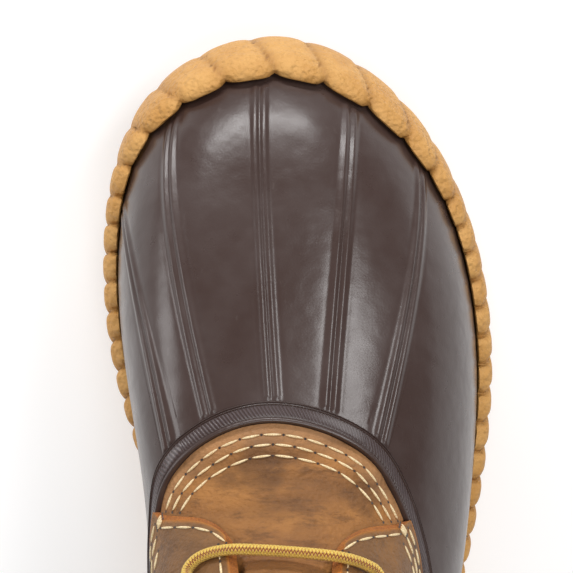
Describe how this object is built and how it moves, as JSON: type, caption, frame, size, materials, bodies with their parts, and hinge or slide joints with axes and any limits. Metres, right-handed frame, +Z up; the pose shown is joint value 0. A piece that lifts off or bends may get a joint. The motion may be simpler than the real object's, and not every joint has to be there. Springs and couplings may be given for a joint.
{
  "type": "duck boot",
  "caption": "Right-foot lace-up duck boot: ribbed brown rubber shell in a lobed gum sole, leather quarters and tongue, padded collar, round lace.",
  "frame": {"origin": "on the floor, under the middle of the bounding box", "axes": "+Z up, +Y from heel to toe, +X towards the outer side of the foot"},
  "size_m": [0.1161, 0.3061, 0.2322],
  "materials": {
    "gum_rubber": "matte gum, faintly glossy on the toe",
    "shell_rubber": "smooth semi-gloss",
    "footbed": "matte",
    "tongue_leather": "oiled, pulled up and creased",
    "quarter_leather": "oiled, with raw tan edges",
    "collar_leather": "soft, padded",
    "backstay_leather": "oiled",
    "antique_brass": "antique",
    "lace": "woven, yellow with a red-brown zigzag"
  },
  "bodies": {
    "root": {"outsole": "gum_rubber", "shell": "shell_rubber", "insole": "footbed", "tongue": "tongue_leather", "quarters": "quarter_leather", "collar": "collar_leather", "backstay": "backstay_leather", "eyelet_outer_1": "antique_brass", "eyelet_outer_2": "antique_brass", "eyelet_outer_3": "antique_brass", "eyelet_outer_4": "antique_brass", "eyelet_outer_5": "antique_brass", "eyelet_outer_6": "antique_brass", "eyelet_inner_1": "antique_brass", "eyelet_inner_2": "antique_brass", "eyelet_inner_3": "antique_brass", "eyelet_inner_4": "antique_brass", "eyelet_inner_5": "antique_brass", "eyelet_inner_6": "antique_brass", "lace_bar": "lace", "lace_crossing_1": "lace", "lace_crossing_2": "lace", "lace_crossing_3": "lace", "lace_crossing_4": "lace", "lace_crossing_5": "lace"}
  },
  "joints": []
}
